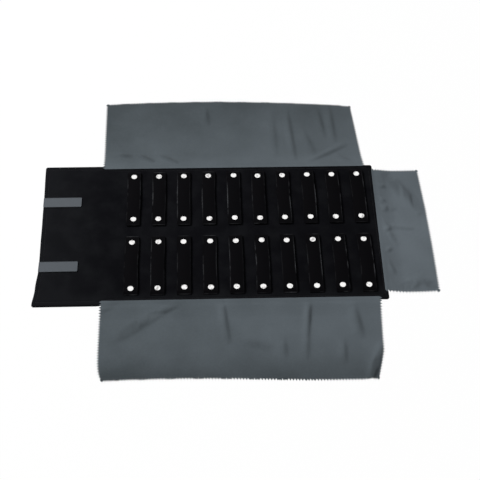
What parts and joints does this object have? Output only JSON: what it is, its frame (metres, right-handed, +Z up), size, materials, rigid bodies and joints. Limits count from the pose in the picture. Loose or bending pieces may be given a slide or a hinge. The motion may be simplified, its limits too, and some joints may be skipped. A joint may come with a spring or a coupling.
{
  "type": "jewelry roll",
  "caption": "Padded velvet strip with rows of snap straps, cloth flaps that fold over them, and hook strips that hold it rolled up.",
  "frame": {"origin": "middle of the padded strip's underside", "axes": "+X along the strip to the end that is rolled first, +Y to the far long edge, +Z up out of the velvet face"},
  "size_m": [0.5225, 0.4705, 0.0091],
  "materials": {
    "velvet_pad": "matte",
    "strap_cloth": "matte",
    "flap_cloth": "matte",
    "hook_tape": "matte"
  },
  "bodies": {
    "panel_01": {"pad_01": "velvet_pad", "hook_strip_far": "hook_tape", "hook_strip_near": "hook_tape"},
    "panel_02": {"pad_02": "velvet_pad"},
    "panel_03": {"pad_03": "velvet_pad"},
    "panel_04": {"pad_04": "velvet_pad"},
    "panel_05": {"pad_05": "velvet_pad"},
    "panel_06": {"pad_06": "velvet_pad"},
    "panel_07": {"pad_07": "velvet_pad"},
    "panel_08": {"pad_08": "velvet_pad", "loop_strip_far": "hook_tape", "loop_strip_near": "hook_tape"},
    "panel_09": {"pad_09": "velvet_pad"},
    "panel_10": {"pad_10": "velvet_pad"},
    "panel_11": {"pad_11": "velvet_pad"},
    "panel_12": {"pad_12": "velvet_pad"},
    "end_flap_inner": {"end_flap_inner": "flap_cloth"},
    "end_flap_outer": {"end_flap_outer": "flap_cloth"},
    "far_flap_06": {"far_flap_06": "flap_cloth"},
    "far_flap_02": {"far_flap_02": "flap_cloth"},
    "far_flap_03": {"far_flap_03": "flap_cloth"},
    "far_flap_04": {"far_flap_04": "flap_cloth"},
    "far_flap_05": {"far_flap_05": "flap_cloth"},
    "far_flap_07": {"far_flap_07": "flap_cloth"},
    "far_flap_08": {"far_flap_08": "flap_cloth"},
    "far_flap_09": {"far_flap_09": "flap_cloth"},
    "far_flap_10": {"far_flap_10": "flap_cloth"},
    "far_flap_11": {"far_flap_11": "flap_cloth"},
    "far_flap_12": {"far_flap_12": "flap_cloth"},
    "strap_far_01": {"strap_far_01": "strap_cloth"},
    "strap_far_02": {"strap_far_02": "strap_cloth"},
    "strap_far_03": {"strap_far_03": "strap_cloth"},
    "strap_far_04": {"strap_far_04": "strap_cloth"},
    "strap_far_05": {"strap_far_05": "strap_cloth"},
    "strap_far_06": {"strap_far_06": "strap_cloth"},
    "strap_far_07": {"strap_far_07": "strap_cloth"},
    "strap_far_08": {"strap_far_08": "strap_cloth"},
    "strap_far_09": {"strap_far_09": "strap_cloth"},
    "strap_far_10": {"strap_far_10": "strap_cloth"},
    "near_flap_06": {"near_flap_06": "flap_cloth"},
    "near_flap_02": {"near_flap_02": "flap_cloth"},
    "near_flap_03": {"near_flap_03": "flap_cloth"},
    "near_flap_04": {"near_flap_04": "flap_cloth"},
    "near_flap_05": {"near_flap_05": "flap_cloth"},
    "near_flap_07": {"near_flap_07": "flap_cloth"},
    "near_flap_08": {"near_flap_08": "flap_cloth"},
    "near_flap_09": {"near_flap_09": "flap_cloth"},
    "near_flap_10": {"near_flap_10": "flap_cloth"},
    "near_flap_11": {"near_flap_11": "flap_cloth"},
    "near_flap_12": {"near_flap_12": "flap_cloth"},
    "strap_near_01": {"strap_near_01": "strap_cloth"},
    "strap_near_02": {"strap_near_02": "strap_cloth"},
    "strap_near_03": {"strap_near_03": "strap_cloth"},
    "strap_near_04": {"strap_near_04": "strap_cloth"},
    "strap_near_05": {"strap_near_05": "strap_cloth"},
    "strap_near_06": {"strap_near_06": "strap_cloth"},
    "strap_near_07": {"strap_near_07": "strap_cloth"},
    "strap_near_08": {"strap_near_08": "strap_cloth"},
    "strap_near_09": {"strap_near_09": "strap_cloth"},
    "strap_near_10": {"strap_near_10": "strap_cloth"}
  },
  "joints": [
    {"name": "roll_01_02", "type": "hinge", "parent": "panel_02", "child": "panel_01", "pos_m": [-0.168, 0, 0.0122], "axis": [0, -1, 0], "range_deg": [-65, 0]},
    {"name": "roll_02_03", "type": "hinge", "parent": "panel_03", "child": "panel_02", "pos_m": [-0.12218, 0, 0.0122], "axis": [0, -1, 0], "range_deg": [-50.5, 0]},
    {"name": "roll_03_04", "type": "hinge", "parent": "panel_04", "child": "panel_03", "pos_m": [-0.08783, 0, 0.0122], "axis": [0, -1, 0], "range_deg": [-39.5, 0]},
    {"name": "roll_04_05", "type": "hinge", "parent": "panel_05", "child": "panel_04", "pos_m": [-0.05348, 0, 0.0122], "axis": [0, -1, 0], "range_deg": [-43, 0]},
    {"name": "roll_05_06", "type": "hinge", "parent": "panel_06", "child": "panel_05", "pos_m": [-0.01912, 0, 0.0122], "axis": [0, -1, 0], "range_deg": [-44.5, 0]},
    {"name": "roll_06_07", "type": "hinge", "parent": "panel_06", "child": "panel_07", "pos_m": [0.01523, 0, 0.0122], "axis": [0, 1, 0], "range_deg": [-51.5, 0]},
    {"name": "roll_07_08", "type": "hinge", "parent": "panel_07", "child": "panel_08", "pos_m": [0.04958, 0, 0.0122], "axis": [0, 1, 0], "range_deg": [-54, 0]},
    {"name": "roll_08_09", "type": "hinge", "parent": "panel_08", "child": "panel_09", "pos_m": [0.08392, 0, 0.0122], "axis": [0, 1, 0], "range_deg": [-49.5, 0]},
    {"name": "roll_09_10", "type": "hinge", "parent": "panel_09", "child": "panel_10", "pos_m": [0.11828, 0, 0.0122], "axis": [0, 1, 0], "range_deg": [-61, 0]},
    {"name": "roll_10_11", "type": "hinge", "parent": "panel_10", "child": "panel_11", "pos_m": [0.15263, 0, 0.0122], "axis": [0, 1, 0], "range_deg": [-67.5, 0]},
    {"name": "roll_11_12", "type": "hinge", "parent": "panel_11", "child": "panel_12", "pos_m": [0.18698, 0, 0.0122], "axis": [0, 1, 0], "range_deg": [-67.5, 0]},
    {"name": "end_flap_fold", "type": "hinge", "parent": "panel_12", "child": "end_flap_inner", "pos_m": [0.229, 0, 0.005], "axis": [0, 1, 0], "range_deg": [-179.8, 0]},
    {"name": "end_flap_crease", "type": "hinge", "parent": "end_flap_inner", "child": "end_flap_outer", "pos_m": [0.27103, 0, -0.0022], "axis": [0, 1, 0], "range_deg": [0, 67.5]},
    {"name": "far_flap_fold", "type": "hinge", "parent": "panel_06", "child": "far_flap_06", "pos_m": [-0.00195, 0.115, 0.006], "axis": [-1, 0, 0], "range_deg": [-179.8, 0]},
    {"name": "far_flap_fold_02", "type": "hinge", "parent": "panel_02", "child": "far_flap_02", "pos_m": [-0.13609, 0.115, 0.006], "axis": [-1, 0, 0], "range_deg": [-179.8, 0]},
    {"name": "far_flap_fold_03", "type": "hinge", "parent": "panel_03", "child": "far_flap_03", "pos_m": [-0.105, 0.115, 0.006], "axis": [-1, 0, 0], "range_deg": [-179.8, 0]},
    {"name": "far_flap_fold_04", "type": "hinge", "parent": "panel_04", "child": "far_flap_04", "pos_m": [-0.07065, 0.115, 0.006], "axis": [-1, 0, 0], "range_deg": [-179.8, 0]},
    {"name": "far_flap_fold_05", "type": "hinge", "parent": "panel_05", "child": "far_flap_05", "pos_m": [-0.0363, 0.115, 0.006], "axis": [-1, 0, 0], "range_deg": [-179.8, 0]},
    {"name": "far_flap_fold_07", "type": "hinge", "parent": "panel_07", "child": "far_flap_07", "pos_m": [0.0324, 0.115, 0.006], "axis": [-1, 0, 0], "range_deg": [-179.8, 0]},
    {"name": "far_flap_fold_08", "type": "hinge", "parent": "panel_08", "child": "far_flap_08", "pos_m": [0.06675, 0.115, 0.006], "axis": [-1, 0, 0], "range_deg": [-179.8, 0]},
    {"name": "far_flap_fold_09", "type": "hinge", "parent": "panel_09", "child": "far_flap_09", "pos_m": [0.1011, 0.115, 0.006], "axis": [-1, 0, 0], "range_deg": [-179.8, 0]},
    {"name": "far_flap_fold_10", "type": "hinge", "parent": "panel_10", "child": "far_flap_10", "pos_m": [0.13545, 0.115, 0.006], "axis": [-1, 0, 0], "range_deg": [-179.8, 0]},
    {"name": "far_flap_fold_11", "type": "hinge", "parent": "panel_11", "child": "far_flap_11", "pos_m": [0.1698, 0.115, 0.006], "axis": [-1, 0, 0], "range_deg": [-179.8, 0]},
    {"name": "far_flap_fold_12", "type": "hinge", "parent": "panel_12", "child": "far_flap_12", "pos_m": [0.20774, 0.115, 0.006], "axis": [-1, 0, 0], "range_deg": [-179.8, 0]},
    {"name": "strap_far_01_open", "type": "hinge", "parent": "panel_03", "child": "strap_far_01", "pos_m": [-0.105, 0.1037, 0.00515], "axis": [-1, 0, 0], "range_deg": [0, 150]},
    {"name": "strap_far_02_open", "type": "hinge", "parent": "panel_04", "child": "strap_far_02", "pos_m": [-0.07065, 0.1037, 0.00515], "axis": [-1, 0, 0], "range_deg": [0, 150]},
    {"name": "strap_far_03_open", "type": "hinge", "parent": "panel_05", "child": "strap_far_03", "pos_m": [-0.0363, 0.1037, 0.00515], "axis": [-1, 0, 0], "range_deg": [0, 150]},
    {"name": "strap_far_04_open", "type": "hinge", "parent": "panel_06", "child": "strap_far_04", "pos_m": [-0.00195, 0.1037, 0.00515], "axis": [-1, 0, 0], "range_deg": [0, 150]},
    {"name": "strap_far_05_open", "type": "hinge", "parent": "panel_07", "child": "strap_far_05", "pos_m": [0.0324, 0.1037, 0.00515], "axis": [-1, 0, 0], "range_deg": [0, 150]},
    {"name": "strap_far_06_open", "type": "hinge", "parent": "panel_08", "child": "strap_far_06", "pos_m": [0.06675, 0.1037, 0.00515], "axis": [-1, 0, 0], "range_deg": [0, 150]},
    {"name": "strap_far_07_open", "type": "hinge", "parent": "panel_09", "child": "strap_far_07", "pos_m": [0.1011, 0.1037, 0.00515], "axis": [-1, 0, 0], "range_deg": [0, 150]},
    {"name": "strap_far_08_open", "type": "hinge", "parent": "panel_10", "child": "strap_far_08", "pos_m": [0.13545, 0.1037, 0.00515], "axis": [-1, 0, 0], "range_deg": [0, 150]},
    {"name": "strap_far_09_open", "type": "hinge", "parent": "panel_11", "child": "strap_far_09", "pos_m": [0.1698, 0.1037, 0.00515], "axis": [-1, 0, 0], "range_deg": [0, 150]},
    {"name": "strap_far_10_open", "type": "hinge", "parent": "panel_12", "child": "strap_far_10", "pos_m": [0.20415, 0.1037, 0.00515], "axis": [-1, 0, 0], "range_deg": [0, 150]},
    {"name": "near_flap_fold", "type": "hinge", "parent": "panel_06", "child": "near_flap_06", "pos_m": [-0.00195, -0.115, 0.0055], "axis": [1, 0, 0], "range_deg": [-179.8, 0]},
    {"name": "near_flap_fold_02", "type": "hinge", "parent": "panel_02", "child": "near_flap_02", "pos_m": [-0.13609, -0.115, 0.0055], "axis": [1, 0, 0], "range_deg": [-179.8, 0]},
    {"name": "near_flap_fold_03", "type": "hinge", "parent": "panel_03", "child": "near_flap_03", "pos_m": [-0.105, -0.115, 0.0055], "axis": [1, 0, 0], "range_deg": [-179.8, 0]},
    {"name": "near_flap_fold_04", "type": "hinge", "parent": "panel_04", "child": "near_flap_04", "pos_m": [-0.07065, -0.115, 0.0055], "axis": [1, 0, 0], "range_deg": [-179.8, 0]},
    {"name": "near_flap_fold_05", "type": "hinge", "parent": "panel_05", "child": "near_flap_05", "pos_m": [-0.0363, -0.115, 0.0055], "axis": [1, 0, 0], "range_deg": [-179.8, 0]},
    {"name": "near_flap_fold_07", "type": "hinge", "parent": "panel_07", "child": "near_flap_07", "pos_m": [0.0324, -0.115, 0.0055], "axis": [1, 0, 0], "range_deg": [-179.8, 0]},
    {"name": "near_flap_fold_08", "type": "hinge", "parent": "panel_08", "child": "near_flap_08", "pos_m": [0.06675, -0.115, 0.0055], "axis": [1, 0, 0], "range_deg": [-179.8, 0]},
    {"name": "near_flap_fold_09", "type": "hinge", "parent": "panel_09", "child": "near_flap_09", "pos_m": [0.1011, -0.115, 0.0055], "axis": [1, 0, 0], "range_deg": [-179.8, 0]},
    {"name": "near_flap_fold_10", "type": "hinge", "parent": "panel_10", "child": "near_flap_10", "pos_m": [0.13545, -0.115, 0.0055], "axis": [1, 0, 0], "range_deg": [-179.8, 0]},
    {"name": "near_flap_fold_11", "type": "hinge", "parent": "panel_11", "child": "near_flap_11", "pos_m": [0.1698, -0.115, 0.0055], "axis": [1, 0, 0], "range_deg": [-179.8, 0]},
    {"name": "near_flap_fold_12", "type": "hinge", "parent": "panel_12", "child": "near_flap_12", "pos_m": [0.20774, -0.115, 0.0055], "axis": [1, 0, 0], "range_deg": [-179.8, 0]},
    {"name": "strap_near_01_open", "type": "hinge", "parent": "panel_03", "child": "strap_near_01", "pos_m": [-0.105, -0.1037, 0.00515], "axis": [1, 0, 0], "range_deg": [0, 150]},
    {"name": "strap_near_02_open", "type": "hinge", "parent": "panel_04", "child": "strap_near_02", "pos_m": [-0.07065, -0.1037, 0.00515], "axis": [1, 0, 0], "range_deg": [0, 150]},
    {"name": "strap_near_03_open", "type": "hinge", "parent": "panel_05", "child": "strap_near_03", "pos_m": [-0.0363, -0.1037, 0.00515], "axis": [1, 0, 0], "range_deg": [0, 150]},
    {"name": "strap_near_04_open", "type": "hinge", "parent": "panel_06", "child": "strap_near_04", "pos_m": [-0.00195, -0.1037, 0.00515], "axis": [1, 0, 0], "range_deg": [0, 150]},
    {"name": "strap_near_05_open", "type": "hinge", "parent": "panel_07", "child": "strap_near_05", "pos_m": [0.0324, -0.1037, 0.00515], "axis": [1, 0, 0], "range_deg": [0, 150]},
    {"name": "strap_near_06_open", "type": "hinge", "parent": "panel_08", "child": "strap_near_06", "pos_m": [0.06675, -0.1037, 0.00515], "axis": [1, 0, 0], "range_deg": [0, 150]},
    {"name": "strap_near_07_open", "type": "hinge", "parent": "panel_09", "child": "strap_near_07", "pos_m": [0.1011, -0.1037, 0.00515], "axis": [1, 0, 0], "range_deg": [0, 150]},
    {"name": "strap_near_08_open", "type": "hinge", "parent": "panel_10", "child": "strap_near_08", "pos_m": [0.13545, -0.1037, 0.00515], "axis": [1, 0, 0], "range_deg": [0, 150]},
    {"name": "strap_near_09_open", "type": "hinge", "parent": "panel_11", "child": "strap_near_09", "pos_m": [0.1698, -0.1037, 0.00515], "axis": [1, 0, 0], "range_deg": [0, 150]},
    {"name": "strap_near_10_open", "type": "hinge", "parent": "panel_12", "child": "strap_near_10", "pos_m": [0.20415, -0.1037, 0.00515], "axis": [1, 0, 0], "range_deg": [0, 150]}
  ],
  "couplings": [
    {"joint": "end_flap_crease", "follows": "roll_11_12", "ratio": -1},
    {"joint": "far_flap_fold_02", "follows": "far_flap_fold", "ratio": 1},
    {"joint": "far_flap_fold_03", "follows": "far_flap_fold", "ratio": 1},
    {"joint": "far_flap_fold_04", "follows": "far_flap_fold", "ratio": 1},
    {"joint": "far_flap_fold_05", "follows": "far_flap_fold", "ratio": 1},
    {"joint": "far_flap_fold_07", "follows": "far_flap_fold", "ratio": 1},
    {"joint": "far_flap_fold_08", "follows": "far_flap_fold", "ratio": 1},
    {"joint": "far_flap_fold_09", "follows": "far_flap_fold", "ratio": 1},
    {"joint": "far_flap_fold_10", "follows": "far_flap_fold", "ratio": 1},
    {"joint": "far_flap_fold_11", "follows": "far_flap_fold", "ratio": 1},
    {"joint": "far_flap_fold_12", "follows": "far_flap_fold", "ratio": 1},
    {"joint": "near_flap_fold_02", "follows": "near_flap_fold", "ratio": 1},
    {"joint": "near_flap_fold_03", "follows": "near_flap_fold", "ratio": 1},
    {"joint": "near_flap_fold_04", "follows": "near_flap_fold", "ratio": 1},
    {"joint": "near_flap_fold_05", "follows": "near_flap_fold", "ratio": 1},
    {"joint": "near_flap_fold_07", "follows": "near_flap_fold", "ratio": 1},
    {"joint": "near_flap_fold_08", "follows": "near_flap_fold", "ratio": 1},
    {"joint": "near_flap_fold_09", "follows": "near_flap_fold", "ratio": 1},
    {"joint": "near_flap_fold_10", "follows": "near_flap_fold", "ratio": 1},
    {"joint": "near_flap_fold_11", "follows": "near_flap_fold", "ratio": 1},
    {"joint": "near_flap_fold_12", "follows": "near_flap_fold", "ratio": 1}
  ]
}
